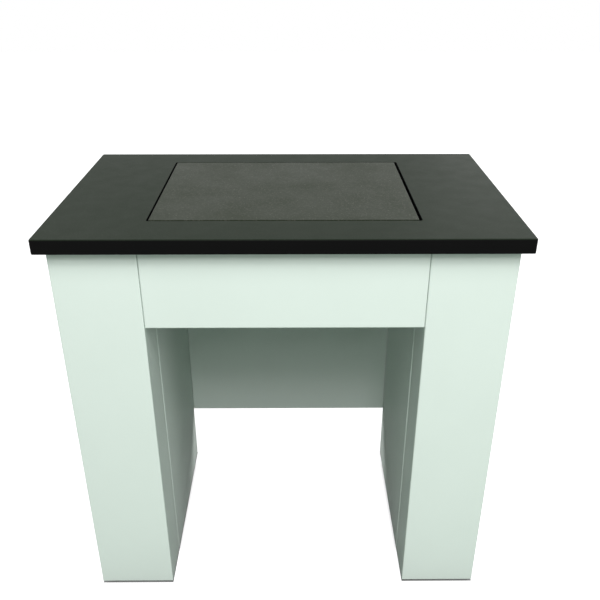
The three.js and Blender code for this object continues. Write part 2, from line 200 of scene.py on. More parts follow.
# Factor for the floor's glow: 0 under the pedestals, where no light comes, and 1 elsewhere
def besidePedestals(tree, place):
    low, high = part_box("right_pedestal_shell")
    position = addNode(tree, "ShaderNodeSeparateXYZ", {0: place}).outputs
    aside = mathNode(tree, "ABSOLUTE", position["X"])
    under = []
    for value, first, last in ((aside, low.x, high.x), (position["Y"], low.y, high.y)):
        inRange = {0: value, 1: (first + last) / 2, 2: (last - first) / 2}
        under.append(addNode(tree, "ShaderNodeMath", inRange, operation="COMPARE").outputs[0])
    return mathNode(tree, "SUBTRACT", 1.0, mathNode(tree, "MULTIPLY", under[0], under[1]))


def floorMaterial():
    material = bpy.data.materials.new("paleFloor")
    material.use_nodes = True
    tree = material.node_tree
    tree.nodes.clear()
    share = studio["floorSeen"]
    # The floor's glow carries painted shadow: ambient occlusion darkens it near the object, and it is zero
    # under the pedestals
    contact = addNode(tree, "ShaderNodeAmbientOcclusion", {"Distance": studio["contactReach"]},
                      samples=studio["contactSamples"])
    place = addNode(tree, "ShaderNodeTexCoord").outputs["Object"]
    paintedShadowFactor = mathNode(tree, "MULTIPLY", contact.outputs["AO"], besidePedestals(tree, place))
    glow = mathNode(tree, "MULTIPLY", paintedShadowFactor, studio["floorGlow"])
    bright = addNode(tree, "ShaderNodeEmission", {"Color": white, "Strength": glow})
    shaded = addNode(tree, "ShaderNodeBsdfDiffuse", {"Color": (share, share, share, 1)})
    seen = addNode(tree, "ShaderNodeAddShader", {0: bright.outputs[0], 1: shaded.outputs[0]})
    # Under the table the floor sends back less light: painted shade in the colour that only bounced light
    # sees
    depth = addNode(tree, "ShaderNodeSeparateXYZ", {0: place}).outputs["Y"]
    underTableShade = rangeNode(tree, depth, studio["bounceFrom"], studio["bounceTo"])
    bounce = mixColours(tree, underTableShade, studio["bounceFront"], studio["paintedShadeBounceUnder"])
    sent = addNode(tree, "ShaderNodeBsdfDiffuse", {"Color": bounce})
    fromAbove = mixShaders(tree, seenDirectly(tree), sent, seen)
    below = addNode(tree, "ShaderNodeBsdfTransparent")
    facing = addNode(tree, "ShaderNodeNewGeometry").outputs["Backfacing"]
    surface = mixShaders(tree, facing, fromAbove, below)
    addNode(tree, "ShaderNodeOutputMaterial", {"Surface": surface.outputs[0]})
    return material


def makeFloor():
    half = studio["floorHalf"]
    mesh = bpy.data.meshes.new("floor")
    outline = [(-half, -half, 0), (half, -half, 0), (half, half, 0), (-half, half, 0)]
    mesh.from_pydata(outline, [], [(0, 1, 2, 3)])
    floor = bpy.data.objects.new("floor", mesh)
    mesh.materials.append(floorMaterial())
    scene.collection.objects.link(floor)


def makeLamp(lamp):
    data = bpy.data.lights.new(lamp["name"], "AREA")
    data.shape = "RECTANGLE"
    data.size, data.size_y = lamp["size"]
    data.energy = lamp["watts"]
    placed = bpy.data.objects.new(lamp["name"], data)
    placed.location = lamp["at"]
    placed.rotation_euler = (Vector(lamp["aim"]) - Vector(lamp["at"])).to_track_quat("-Z", "Y").to_euler()
    scene.collection.objects.link(placed)


makeAir(studio["airLevel"])
makeFloor()
for lamp in studio["lamps"]:
    makeLamp(lamp)
print("studio lit")


# Shader groups that several finishes share; waves are counted per metre. A fine ripple with a cloudy gloss
peelShape = {"detail": 2.0, "roughness": 0.45, "cloudShare": 0.03, "cloudDetail": 4.0, "spread": (0.3, 0.7)}


def makePeelGroup(shape):
    tree, given, result = newTree(
        "paintPeel", "ShaderNodeTree",
        {"Vector": "Vector", "Waves": "Float", "Gloss Low": "Float", "Gloss High": "Float"},
        {"Height": "Float", "Roughness": "Float"})
    place, waves = given.outputs["Vector"], given.outputs["Waves"]
    ripple = noiseNode(tree, place, waves, shape["detail"], shape["roughness"])
    broad = mathNode(tree, "MULTIPLY", waves, shape["cloudShare"])
    cloud = noiseNode(tree, place, broad, shape["cloudDetail"])
    gloss = rangeNode(tree, cloud, *shape["spread"], given.outputs["Gloss Low"], given.outputs["Gloss High"])
    tree.links.new(ripple, result.inputs["Height"])
    tree.links.new(gloss, result.inputs["Roughness"])
    return tree


# Clouds of two tones
mottleShape = {"detail": 5.0, "roughness": 0.6, "spread": (0.32, 0.68)}


def makeMottleGroup(shape):
    tree, given, result = newTree(
        "mottle", "ShaderNodeTree",
        {"Vector": "Vector", "Waves": "Float", "First": "Color", "Second": "Color"}, {"Color": "Color"})
    place, waves = given.outputs["Vector"], given.outputs["Waves"]
    cloud = noiseNode(tree, place, waves, shape["detail"], shape["roughness"])
    factor = rangeNode(tree, cloud, *shape["spread"])
    mix = mixColours(tree, factor, given.outputs["First"], given.outputs["Second"])
    tree.links.new(mix, result.inputs["Color"])
    return tree


# Grains, of which a share is brighter than the ground
def makeFleckGroup():
    tree, given, result = newTree(
        "flecks", "ShaderNodeTree",
        {"Vector": "Vector", "Grains": "Float", "Share": "Float", "Ground": "Color", "Fleck": "Color"},
        {"Color": "Color", "Height": "Float"})
    cells = addNode(tree, "ShaderNodeTexVoronoi", {
        "Vector": given.outputs["Vector"], "Scale": given.outputs["Grains"]})
    tone = addNode(tree, "ShaderNodeSeparateColor", {0: cells.outputs["Color"]})
    border = mathNode(tree, "SUBTRACT", 1.0, given.outputs["Share"])
    bright = rangeNode(tree, tone.outputs[0], border, 1.0)
    mix = mixColours(tree, bright, given.outputs["Ground"], given.outputs["Fleck"])
    tree.links.new(mix, result.inputs["Color"])
    tree.links.new(cells.outputs["Distance"], result.inputs["Height"])
    return tree


# Dust that settles in patches on what looks up
dustShape = {"colour": (0.4, 0.4, 0.38, 1), "upward": (0.55, 0.95), "patchWaves": 9.0, "patchDetail": 6.0,
             "spread": (0.25, 0.75)}


def makeDustGroup(shape):
    tree, given, result = newTree(
        "settledDust", "ShaderNodeTree",
        {"Vector": "Vector", "Color": "Color", "Amount": "Float"}, {"Color": "Color"})
    upward = rangeNode(tree, upwardNode(tree), *shape["upward"])
    cloud = noiseNode(tree, given.outputs["Vector"], shape["patchWaves"], shape["patchDetail"])
    patches = rangeNode(tree, cloud, *shape["spread"])
    lying = mathNode(tree, "MULTIPLY", upward, patches)
    mask = mathNode(tree, "MULTIPLY", lying, given.outputs["Amount"])
    mix = mixColours(tree, mask, given.outputs["Color"], shape["colour"])
    tree.links.new(mix, result.inputs["Color"])
    return tree


peelGroup = makePeelGroup(peelShape)
mottleGroup = makeMottleGroup(mottleShape)
fleckGroup = makeFleckGroup()
dustGroup = makeDustGroup(dustShape)


def useGroup(tree, group, sockets):
    return addNode(tree, "ShaderNodeGroup", sockets, node_tree=group)


def useMottle(tree, place, look):
    sockets = {"Vector": place, "Waves": look["mottleWaves"],
               "First": look["first"], "Second": look["second"]}
    return useGroup(tree, mottleGroup, sockets).outputs["Color"]


def useFlecks(tree, place, grains, share, ground, fleck):
    sockets = {"Vector": place, "Grains": grains, "Share": share, "Ground": ground, "Fleck": fleck}
    return useGroup(tree, fleckGroup, sockets).outputs


def useDust(tree, place, colour, amount):
    return useGroup(tree, dustGroup, {"Vector": place, "Color": colour, "Amount": amount}).outputs["Color"]


# A material, its tree, its shader and the object's own coordinates
def startMaterial(name):
    material = bpy.data.materials.new(name)
    material.use_nodes = True
    tree = material.node_tree
    shader = tree.nodes["Principled BSDF"]
    place = addNode(tree, "ShaderNodeTexCoord").outputs["Object"]
    return material, tree, shader, place


# Gives the shader its colour, its gloss and a relief, which is the ripple unless another is named
def finishShader(tree, shader, place, colour, look, relief=None):
    low, high = look["gloss"]
    peel = useGroup(tree, peelGroup, {
        "Vector": place, "Waves": look["waves"], "Gloss Low": low, "Gloss High": high}).outputs
    height = peel["Height"] if relief is None else relief
    bump = addNode(tree, "ShaderNodeBump", {"Height": height, "Distance": look["depth"], "Strength": 1.0})
    tree.links.new(colour, shader.inputs["Base Color"])
    tree.links.new(peel["Roughness"], shader.inputs["Roughness"])
    tree.links.new(bump.outputs["Normal"], shader.inputs["Normal"])


# Off-white powder coat of the pedestals, the apron and the back panel
coatedSteel = {
    "first": (0.750, 0.832, 0.776, 1),
    "second": (0.764, 0.845, 0.790, 1),
    "mottleWaves": 5.0,
    "waves": 420.0,
    "depth": 0.06 * mm,
    "gloss": (0.54, 0.62),
    "specular": 0.025,
}


def makeCoatedSteel(look):
    material, tree, shader, place = startMaterial("coatedSteel")
    shader.inputs["Specular IOR Level"].default_value = look["specular"]
    finishShader(tree, shader, place, useMottle(tree, place, look), look)
    return material


# Near-black board of the worktop: fine matt grain on top; its sides are painted darker than the top, as
# painted shade
darkBoard = {
    "top": (0.0123, 0.0183, 0.0112, 1),
    "paintedShadeSide": (0.003, 0.003, 0.003, 1),
    "paintedShadeToTop": (0.2, 0.8),    # how far a face looks up where the painted shade of the sides gives way to the top's colour
    "fleck": (0.024, 0.032, 0.022, 1),
    "fleckShare": 0.12,
    "dustAmount": 0.008,
    "waves": 900.0,
    "depth": 0.05 * mm,
    "gloss": (0.43, 0.47),
    "specular": 0.036,
}


def makeDarkBoard(look):
    material, tree, shader, place = startMaterial("darkBoard")
    shader.inputs["Specular IOR Level"].default_value = look["specular"]
    grain = useFlecks(tree, place, look["waves"], look["fleckShare"], look["top"], look["fleck"])
    dusty = useDust(tree, place, grain["Color"], look["dustAmount"])
    isTop = rangeNode(tree, upwardNode(tree), *look["paintedShadeToTop"])
    # Faces that look sideways take the painted shade colour; faces that look up take the grain and dust
    finishShader(tree, shader, place, mixColours(tree, isTop, look["paintedShadeSide"], dusty), look)
    return material


# Honed stone of the weighing slab: crystals, and fewer, finer sparks among them
darkStone = {
    "ground": (0.020, 0.026, 0.016, 1),
    "crystal": (0.045, 0.049, 0.038, 1),
    "crystalShare": 0.30,
    "spark": (0.12, 0.12, 0.10, 1),
    "sparkShare": 0.018,
    "sparkWaves": 714.0,
    "waves": 420.0,
    "depth": 0.04 * mm,
    "gloss": (0.36, 0.46),
    "specular": 0.058,
}


def makeDarkStone(look):
    material, tree, shader, place = startMaterial("darkStone")
    shader.inputs["Specular IOR Level"].default_value = look["specular"]
    crystals = useFlecks(tree, place, look["waves"], look["crystalShare"], look["ground"], look["crystal"])
    sparks = useFlecks(tree, place, look["sparkWaves"], look["sparkShare"], crystals["Color"], look["spark"])
    finishShader(tree, shader, place, sparks["Color"], look, crystals["Height"])
    return material


# Zinc plate of screws, nuts and mount plates
zincSteel = {
    "first": (0.60, 0.61, 0.60, 1),
    "second": (0.70, 0.69, 0.64, 1),
    "mottleWaves": 120.0,
    "waves": 1500.0,
    "depth": 0.02 * mm,
    "gloss": (0.26, 0.42),
}


def makeZincSteel(look):
    material, tree, shader, place = startMaterial("zincSteel")
    shader.inputs["Metallic"].default_value = 1.0
    finishShader(tree, shader, place, useMottle(tree, place, look), look)
    return material


# Finishes that collect dust: grey primer of the hidden steelwork, moulded rubber and nylon
framePaint = {
    "name": "framePaint",
    "first": (0.25, 0.27, 0.27, 1),
    "second": (0.30, 0.32, 0.315, 1),
    "mottleWaves": 30.0,
    "dustAmount": 0.35,
    "waves": 600.0,
    "depth": 0.08 * mm,
    "gloss": (0.42, 0.58),
}
mouldedRubber = {
    "name": "mouldedRubber",
    "first": (0.010, 0.010, 0.010, 1),
    "second": (0.018, 0.018, 0.017, 1),
    "mottleWaves": 60.0,
    "dustAmount": 0.16,
    "waves": 900.0,
    "depth": 0.10 * mm,
    "gloss": (0.72, 0.90),
}
blackNylon = {
    "name": "blackNylon",
    "first": (0.016, 0.016, 0.017, 1),
    "second": (0.022, 0.022, 0.022, 1),
    "mottleWaves": 60.0,
    "dustAmount": 0.10,
    "waves": 1400.0,
    "depth": 0.04 * mm,
    "gloss": (0.42, 0.56),
}


def makeDustyFinish(look):
    material, tree, shader, place = startMaterial(look["name"])
    dusty = useDust(tree, place, useMottle(tree, place, look), look["dustAmount"])
    finishShader(tree, shader, place, dusty, look)
    return material


finishes = {
    "coated_steel": makeCoatedSteel(coatedSteel),
    "dark_board": makeDarkBoard(darkBoard),
    "dark_stone": makeDarkStone(darkStone),
    "frame_paint": makeDustyFinish(framePaint),
    "zinc_steel": makeZincSteel(zincSteel),
    "rubber": makeDustyFinish(mouldedRubber),
    "black_nylon": makeDustyFinish(blackNylon),
}
print("finishes made:", len(finishes))


# Every solid of the frame takes the finish that its record names
def dressNodes():
    for part in frame["record"]["subparts"]:
        node = nodes[part["node"]]
        node.material_slots[0].material = finishes[part["material_slot"]]


dressNodes()


# Meshes made of rings of points
modelling = {"sharpAngle": 35, "cornerSteps": 8, "edgeSteps": 6, "supportGap": 1.5 * mm,
             "leastRadius": 0.2 * mm, "leastGap": 1e-6, "leastEdge": 1e-7}


def placeMesh(name, data, sharpAngle):
    data.name = name
    data.shade_smooth()
    data.set_sharp_from_angle(angle=math.radians(sharpAngle))
    piece = bpy.data.objects.new(name, data)
    scene.collection.objects.link(piece)
    return piece


def bakeMesh(name, mesh, sharpAngle=modelling["sharpAngle"]):
    bmesh.ops.recalc_face_normals(mesh, faces=mesh.faces)
    data = bpy.data.meshes.new(name)
    mesh.to_mesh(data)
    mesh.free()
    return placeMesh(name, data, sharpAngle)


def finishPiece(piece, slotName, body, replaced=()):
    piece.data.materials.clear()
    piece.data.materials.append(finishes[slotName])
    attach(piece, body)
    if replaced:
        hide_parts(*replaced)


# Joins each ring to the next; a loop of rings closes on itself, a row is capped at both ends
def skinRings(mesh, rings, isLoop=False):
    rows = [[mesh.verts.new(point) for point in ring] for ring in rings]
    pairs = list(zip(rows, rows[1:]))
    if isLoop:
        pairs.append((rows[-1], rows[0]))
    else:
        mesh.faces.new(list(reversed(rows[0])))
        mesh.faces.new(rows[-1])
    for lower, upper in pairs:
        for step in range(len(lower)):
            following = (step + 1) % len(lower)
            mesh.faces.new((lower[step], lower[following], upper[following], upper[step]))


def skinnedPiece(name, rings, isLoop=False):
    mesh = bmesh.new()
    skinRings(mesh, rings, isLoop)
    return bakeMesh(name, mesh)


# A rectangle with round corners, drawn smaller by an inset, at one height
def insetRing(rectangle, inset, height):
    radius = max(rectangle["radius"] - inset, modelling["leastRadius"])
    left, front = (value + inset + radius for value in rectangle["low"])
    right, back = (value - inset - radius for value in rectangle["high"])
    steps = modelling["cornerSteps"]
    points = []
    for turn, (x, y) in enumerate(((right, front), (right, back), (left, back), (left, front))):
        for step in range(steps + 1):
            angle = math.radians(90 * (turn - 1) + 90 * step / steps)
            points.append((x + radius * math.cos(angle), y + radius * math.sin(angle), height))
    return points


# A softened edge as pairs of inset and drop, from a little way in on the face to the side
def softEdge(radius):
    pairs = [(radius + modelling["supportGap"], 0)]
    for step in range(modelling["edgeSteps"] + 1):
        angle = math.pi / 2 * step / modelling["edgeSteps"]
        pairs.append((radius * (1 - math.sin(angle)), radius * (1 - math.cos(angle))))
    return pairs


def boardRings(rectangle, outward, upperRound, lowerRound, top, bottom):
    upper = [insetRing(rectangle, outward * inset, top - drop) for inset, drop in softEdge(upperRound)]
    lower = [insetRing(rectangle, outward * inset, bottom + drop) for inset, drop in softEdge(lowerRound)]
    return upper + lower[::-1]


# Worktop with its cut-out, and the slab that lies in it
worktopShape = {"cornerRadius": 5.0 * mm, "edgeRound": 2.5 * mm, "lowerRound": 0.8 * mm,
                "cutRadius": 4.0 * mm, "cutRound": 0.6 * mm,
                "gapLeft": 4.0 * mm, "gapRight": 6.0 * mm, "gapFront": 5.0 * mm, "gapBack": 2.0 * mm}
slabShape = {"cornerRadius": 3.0 * mm, "edgeRound": 0.6 * mm}


def makeWorktop(shape):
    low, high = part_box("worktop")
    slabLow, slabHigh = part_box("weighing_slab")
    outline = {"low": (low.x, low.y), "high": (high.x, high.y), "radius": shape["cornerRadius"]}
    cut = {"low": (slabLow.x - shape["gapLeft"], slabLow.y - shape["gapFront"]),
           "high": (slabHigh.x + shape["gapRight"], slabHigh.y + shape["gapBack"]),
           "radius": shape["cutRadius"]}
    outside = boardRings(outline, 1, shape["edgeRound"], shape["lowerRound"], high.z, low.z)
    inside = boardRings(cut, -1, shape["cutRound"], shape["cutRound"], high.z, low.z)
    piece = skinnedPiece("worktopBoard", outside + inside[::-1], isLoop=True)
    finishPiece(piece, "dark_board", "table", ["worktop"])


def makeSlab(shape):
    low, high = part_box("weighing_slab")
    outline = {"low": (low.x, low.y), "high": (high.x, high.y), "radius": shape["cornerRadius"]}
    rings = boardRings(outline, 1, shape["edgeRound"], shape["edgeRound"], high.z, low.z)
    piece = skinnedPiece("weighingSlab", rings)
    finishPiece(piece, "dark_stone", "floating_slab", ["weighing_slab"])


makeWorktop(worktopShape)
makeSlab(slabShape)
print("worktop and slab made")


# Folded pans: a face with a flange along each edge. Facing says which way the face looks.
thinSheet = {"sheet": 1.2 * mm, "foldInside": 1.3 * mm, "cornerRadius": 1.6 * mm}
thickSheet = {"sheet": 3.0 * mm, "foldInside": 2.0 * mm, "cornerRadius": 2.5 * mm}
pans = (
    {"piece": "frontApron", "node": "front_apron", "facing": "front", "stock": thinSheet},
    {"piece": "backPanel", "node": "back_panel", "facing": "front", "stock": thinSheet},
    {"piece": "leftAccessPanel", "node": "left_access_panel", "facing": "right", "stock": thinSheet,
     "setBack": 0.8 * mm},
    {"piece": "rightAccessPanel", "node": "right_access_panel", "facing": "left", "stock": thinSheet,
     "setBack": 0.3 * mm},
    {"piece": "leftBeamPlate", "node": "left_beam_plate", "facing": "right", "stock": thickSheet},
    {"piece": "rightBeamPlate", "node": "right_beam_plate", "facing": "left", "stock": thickSheet},
)


def panProfile(stock, depth):
    sheet, gap = stock["sheet"], modelling["supportGap"]
    outside = softEdge(sheet + stock["foldInside"]) + [(0, depth - gap), (0, depth)]
    inner = [(sheet + inset, sheet + drop) for inset, drop in softEdge(stock["foldInside"])]
    inside = inner + [(sheet, depth - gap), (sheet, depth)]
    return outside + inside[::-1]


def placeOnFace(facing, low, high, point):
    across, up, deep = point
    if facing == "front":
        return (across, low.y + deep, up)
    if facing == "right":
        return (high.x - deep, across, up)
    return (low.x + deep, across, up)


def makePan(pan):
    low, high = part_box(pan["node"])
    isFront = pan["facing"] == "front"
    first, last = (low.x, high.x) if isFront else (low.y, high.y)
    setBack = pan.get("setBack", 0.0)
    depth = (high.y - low.y if isFront else high.x - low.x) - setBack
    face = {"low": (first, low.z), "high": (last, high.z), "radius": pan["stock"]["cornerRadius"]}
    rings = []
    for inset, deep in panProfile(pan["stock"], depth):
        ring = insetRing(face, inset, deep + setBack)
        rings.append([placeOnFace(pan["facing"], low, high, point) for point in ring])
    finishPiece(skinnedPiece(pan["piece"], rings), "coated_steel", "table", [pan["node"]])


for pan in pans:
    makePan(pan)
print("pans folded:", len(pans))


# Pedestal shells: one sheet folded round the front, the outer side and the back, with two lips
shellLips = {"front": 105.0 * mm, "rear": 58.5 * mm}


def leftOf(way):
    return Vector((-way.y, way.x))


# Points on the outside of the sheet, each with its outward direction
def foldSections(line, radius):
    gap, steps = modelling["supportGap"], modelling["edgeSteps"]
    ways = [(after - before).normalized() for before, after in zip(line, line[1:])]
    sections = [(line[0], leftOf(ways[0]))]
    for corner, arriving, leaving in zip(line[1:], ways, ways[1:]):
        sections.append((corner - arriving * (radius + gap), leftOf(arriving)))
        middle = corner + (leaving - arriving) * radius
        for step in range(steps + 1):
            angle = math.pi / 2 * step / steps
            outward = leftOf(arriving) * math.cos(angle) + arriving * math.sin(angle)
            sections.append((middle + outward * radius, outward))
        sections.append((corner + leaving * (radius + gap), leftOf(leaving)))
    sections.append((line[-1], leftOf(ways[-1])))
    return sections


def makeShell(sideName, side):
    nodeName = sideName + "_pedestal_shell"
    low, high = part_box(nodeName)
    inner, outer = (-high.x, -low.x) if side < 0 else (low.x, high.x)
    line = [Vector(point) for point in (
        (-inner, low.y + shellLips["front"]), (-inner, low.y), (-outer, low.y),
        (-outer, high.y), (-inner, high.y), (-inner, high.y - shellLips["rear"]))]
    rings = []
    for point, outward in foldSections(line, thinSheet["sheet"] + thinSheet["foldInside"]):
        inside = point - outward * thinSheet["sheet"]
        x, y, innerX, innerY = -side * point.x, point.y, -side * inside.x, inside.y
        rings.append([(x, y, low.z), (x, y, high.z), (innerX, innerY, high.z), (innerX, innerY, low.z)])
    finishPiece(skinnedPiece(sideName + "Shell", rings), "coated_steel", "table", [nodeName])


for sideName, side in (("left", -1), ("right", 1)):
    makeShell(sideName, side)
print("shells folded")


# Turned pieces: a profile of (radius, height) from the axis at the bottom to the axis at the top
def turnedPiece(name, profile, middle, steps):
    mesh = bmesh.new()
    outline = [mesh.verts.new((radius, 0, height)) for radius, height in profile]
    edges = [mesh.edges.new(pair) for pair in zip(outline, outline[1:])]
    bmesh.ops.spin(mesh, geom=outline + edges, cent=(0, 0, 0), axis=(0, 0, 1), angle=2 * math.pi, steps=steps)
    bmesh.ops.remove_doubles(mesh, verts=mesh.verts, dist=modelling["leastGap"])
    bmesh.ops.dissolve_degenerate(mesh, edges=mesh.edges, dist=modelling["leastEdge"])
    bmesh.ops.translate(mesh, verts=mesh.verts, vec=middle)
    return bakeMesh(name, mesh)


def quarterRound(centreRadius, centreHeight, radius, fromAngle, toAngle, steps):
    angles = [math.radians(fromAngle + (toAngle - fromAngle) * step / steps) for step in range(steps + 1)]
    return [(centreRadius + radius * math.cos(angle), centreHeight + radius * math.sin(angle))
            for angle in angles]


def nodeMiddle(nodeName):
    low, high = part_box(nodeName)
    return Vector(((low.x + high.x) / 2, (low.y + high.y) / 2, low.z)), high.z - low.z, (high.x - low.x) / 2


# Rubber mounts: a waisted body with a moulded rim at each plate
rubberMount = {"waist": 19.0 * mm, "waistPower": 0.8, "rimHeight": 3.0 * mm, "rimRound": 1.2 * mm,
               "steps": 64, "waistSteps": 16, "roundSteps": 4}


def makeRubberMount(corner):
    nodeName = "mount_rubber_" + corner
    middle, height, radius = nodeMiddle(nodeName)
    rim, soft, roundSteps = (rubberMount[name] for name in ("rimHeight", "rimRound", "roundSteps"))
    profile = [(0, 0), (radius - soft, 0)]
    profile += quarterRound(radius - soft, soft, soft, -90, 0, roundSteps)
    for step in range(rubberMount["waistSteps"] + 1):
        share = step / rubberMount["waistSteps"]
        depth = (radius - rubberMount["waist"]) * math.sin(math.pi * share) ** rubberMount["waistPower"]
        profile.append((radius - depth, rim + (height - 2 * rim) * share))
    profile += quarterRound(radius - soft, height - soft, soft, 0, 90, roundSteps)
    profile.append((0, height))
    piece = turnedPiece("rubberMount_" + corner, profile, middle, rubberMount["steps"])
    piece.data.materials.append(finishes["rubber"])
    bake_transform(piece)
    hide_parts(nodeName)


# Pads under the slab: round rubber with a slight bulge and a few grooves
slabPad = {"bulge": 0.8 * mm, "groove": 0.7 * mm, "grooves": 3, "groovePower": 3, "edgeRound": 1.0 * mm,
           "steps": 56, "sideSteps": 18, "roundSteps": 3}


def makeSlabPad(corner):
    nodeName = "slab_pad_" + corner
    middle, height, radius = nodeMiddle(nodeName)
    soft, roundSteps = slabPad["edgeRound"], slabPad["roundSteps"]
    inner = radius - slabPad["bulge"]
    profile = [(0, 0), (inner - soft, 0)]
    profile += quarterRound(inner - soft, soft, soft, -90, 0, roundSteps)
    for step in range(1, slabPad["sideSteps"]):
        share = step / slabPad["sideSteps"]
        swell = slabPad["bulge"] * math.sin(math.pi * share)
        wave = -math.cos(2 * slabPad["grooves"] * math.pi * share)
        dip = slabPad["groove"] * max(0.0, wave) ** slabPad["groovePower"]
        profile.append((inner + swell - dip, soft + (height - 2 * soft) * share))
    profile += quarterRound(inner - soft, height - soft, soft, 0, 90, roundSteps)
    profile.append((0, height))
    piece = turnedPiece("slabPad_" + corner, profile, middle, slabPad["steps"])
    finishPiece(piece, "rubber", "floating_slab", [nodeName])


# Levelling feet: a moulded pad with a soft rim and a ringed sole
footPad = {"neck": 12.0 * mm, "rim": 4.0 * mm, "rimRound": 1.3 * mm, "rimEnds": 65, "neckStarts": 30,
           "socket": 5.3 * mm, "socketDepth": 6.0 * mm, "soleGroove": 0.8 * mm,
           "soleRings": (9.0 * mm, 14.0 * mm), "steps": 64, "roundSteps": 4}


def makeFootPad(corner):
    nodeName = "foot_pad_" + corner
    middle, height, radius = nodeMiddle(nodeName)
    soft, groove, roundSteps = (footPad[name] for name in ("rimRound", "soleGroove", "roundSteps"))
    neck, rim, socket = footPad["neck"], footPad["rim"], footPad["socket"]
    profile = [(0, 0)]
    for ring in footPad["soleRings"]:
        profile += [(ring, 0), (ring + groove / 2, groove),
                    (ring + 1.5 * groove, groove), (ring + 2 * groove, 0)]
    profile.append((radius - soft, 0))
    profile += quarterRound(radius - soft, soft, soft, -90, 0, roundSteps)
    profile += quarterRound(radius - soft, rim - soft, soft, 0, footPad["rimEnds"], roundSteps)
    profile += quarterRound(neck - soft, height - soft, soft, footPad["neckStarts"], 90, roundSteps)
    socketFloor = height - footPad["socketDepth"]
    profile += [(socket, height), (socket, socketFloor), (0, socketFloor)]
    piece = turnedPiece("footPad_" + corner, profile, middle, footPad["steps"])
    finishPiece(piece, "black_nylon", corner + "_foot", [nodeName])


# Levelling screws: a helical thread above a spanner collar
footScrew = {"radius": 5.0 * mm, "pitch": 1.5 * mm, "threadDepth": 0.85 * mm, "shank": 4.6 * mm,
             "collarAcross": 17.0 * mm, "collarLow": 6.0 * mm, "collarHigh": 13.4 * mm,
             "threadLow": 14.2 * mm, "steps": 24, "ringsPerTurn": 8, "sharpAngle": 50}
hexCollar = {"samples": 8, "chamfer": 0.58, "faceShare": 0.97}


def threadRadius(angle, height):
    turn = (height / footScrew["pitch"] - angle / (2 * math.pi)) % 1.0
    return footScrew["radius"] - footScrew["threadDepth"] * abs(2 * turn - 1)


# A ring of the screw, plain where a radius is given and threaded otherwise
def screwRing(height, radius=None):
    ring = []
    for step in range(footScrew["steps"]):
        angle = 2 * math.pi * step / footScrew["steps"]
        out = threadRadius(angle, height) if radius is None else radius
        ring.append((out * math.cos(angle), out * math.sin(angle), height))
    return ring


# A hexagon whose corners lean away from its face, as on a turned chamfer
def hexRing(across, height, lean, isFace):
    flat = across / 2
    points = []
    for step in range(6 * hexCollar["samples"]):
        angle = 2 * math.pi * step / (6 * hexCollar["samples"])
        fromFlat = (angle + math.pi / 6) % (math.pi / 3) - math.pi / 6
        radius = flat * hexCollar["faceShare"] if isFace else flat / math.cos(fromFlat)
        lift = height + lean * max(0.0, radius - flat)
        points.append((radius * math.cos(angle), radius * math.sin(angle), lift))
    return points


def hexRings(across, bottom, top):
    lean = hexCollar["chamfer"]
    return [hexRing(across, bottom, lean, True), hexRing(across, bottom, lean, False),
            hexRing(across, top, -lean, False), hexRing(across, top, -lean, True)]


def makeFootScrew(corner):
    nodeName = "foot_screw_" + corner
    low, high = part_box(nodeName)
    centre = (low + high) / 2
    length, start, shank = high.z - low.z, footScrew["threadLow"], footScrew["shank"]
    threaded = length - start - footScrew["pitch"]
    count = round(threaded / footScrew["pitch"] * footScrew["ringsPerTurn"])
    rings = [screwRing(0, shank), screwRing(start, shank)]
    rings += [screwRing(start + threaded * index / count) for index in range(1, count + 1)]
    rings.append(screwRing(length, footScrew["radius"] - footScrew["pitch"]))
    mesh = bmesh.new()
    skinRings(mesh, rings)
    skinRings(mesh, hexRings(footScrew["collarAcross"], footScrew["collarLow"], footScrew["collarHigh"]))
    bmesh.ops.translate(mesh, verts=mesh.verts, vec=(centre.x, centre.y, low.z))
    piece = bakeMesh("footScrew_" + corner, mesh, footScrew["sharpAngle"])
    finishPiece(piece, "zinc_steel", corner + "_screw", [nodeName])


for corner in corners:
    makeRubberMount(corner)
    makeSlabPad(corner)
    makeFootPad(corner)
    makeFootScrew(corner)
print("mounts, pads and feet made")


# Geometry Nodes: fasteners set on points that say which way they face, and weld beads along edges.
# The shares are of the fastener's own height or width; the cone's shares give a slope of 30 degrees.
fastenerShape = {"roundSides": 48, "ballRings": 32, "coneSides": 72, "faceShare": 0.485, "coneTip": 0.1732,
                 "coneBase": 1.905, "coneDepth": 1.2, "boreReach": 1.4, "washerShare": 1.25,
                 "capShare": 0.65, "slotShare": 0.56}
weldShape = {"swell": (0.85, 1.15), "dropSteps": 2}


def moveNode(tree, geometry, height, turn=0.0):
    offset = addNode(tree, "ShaderNodeCombineXYZ", {"Z": height}).outputs[0]
    moved = addNode(tree, "GeometryNodeTransform", {"Geometry": geometry, "Translation": offset})
    moved.inputs["Rotation"].default_value = (turn, 0, 0)
    return moved.outputs[0]


def prismNode(tree, sides, radius, height):
    sockets = {"Vertices": sides, "Radius": radius, "Depth": height}
    return addNode(tree, "GeometryNodeMeshCylinder", sockets).outputs[0]


def roundBar(tree, diameter, height):
    radius = mathNode(tree, "MULTIPLY", diameter, 0.5)
    return prismNode(tree, fastenerShape["roundSides"], radius, height)


def hexPrism(tree, across, height):
    cornerRadius = mathNode(tree, "DIVIDE", across, math.sqrt(3))
    return prismNode(tree, 6, cornerRadius, height)


def booleanNode(tree, operation, first, others):
    node = addNode(tree, "GeometryNodeMeshBoolean", operation=operation, solver="EXACT")
    tree.links.new(first, node.inputs["Mesh 1" if operation == "DIFFERENCE" else "Mesh 2"])
    for other in others:
        tree.links.new(other, node.inputs["Mesh 2"])
    return node.outputs["Mesh"]


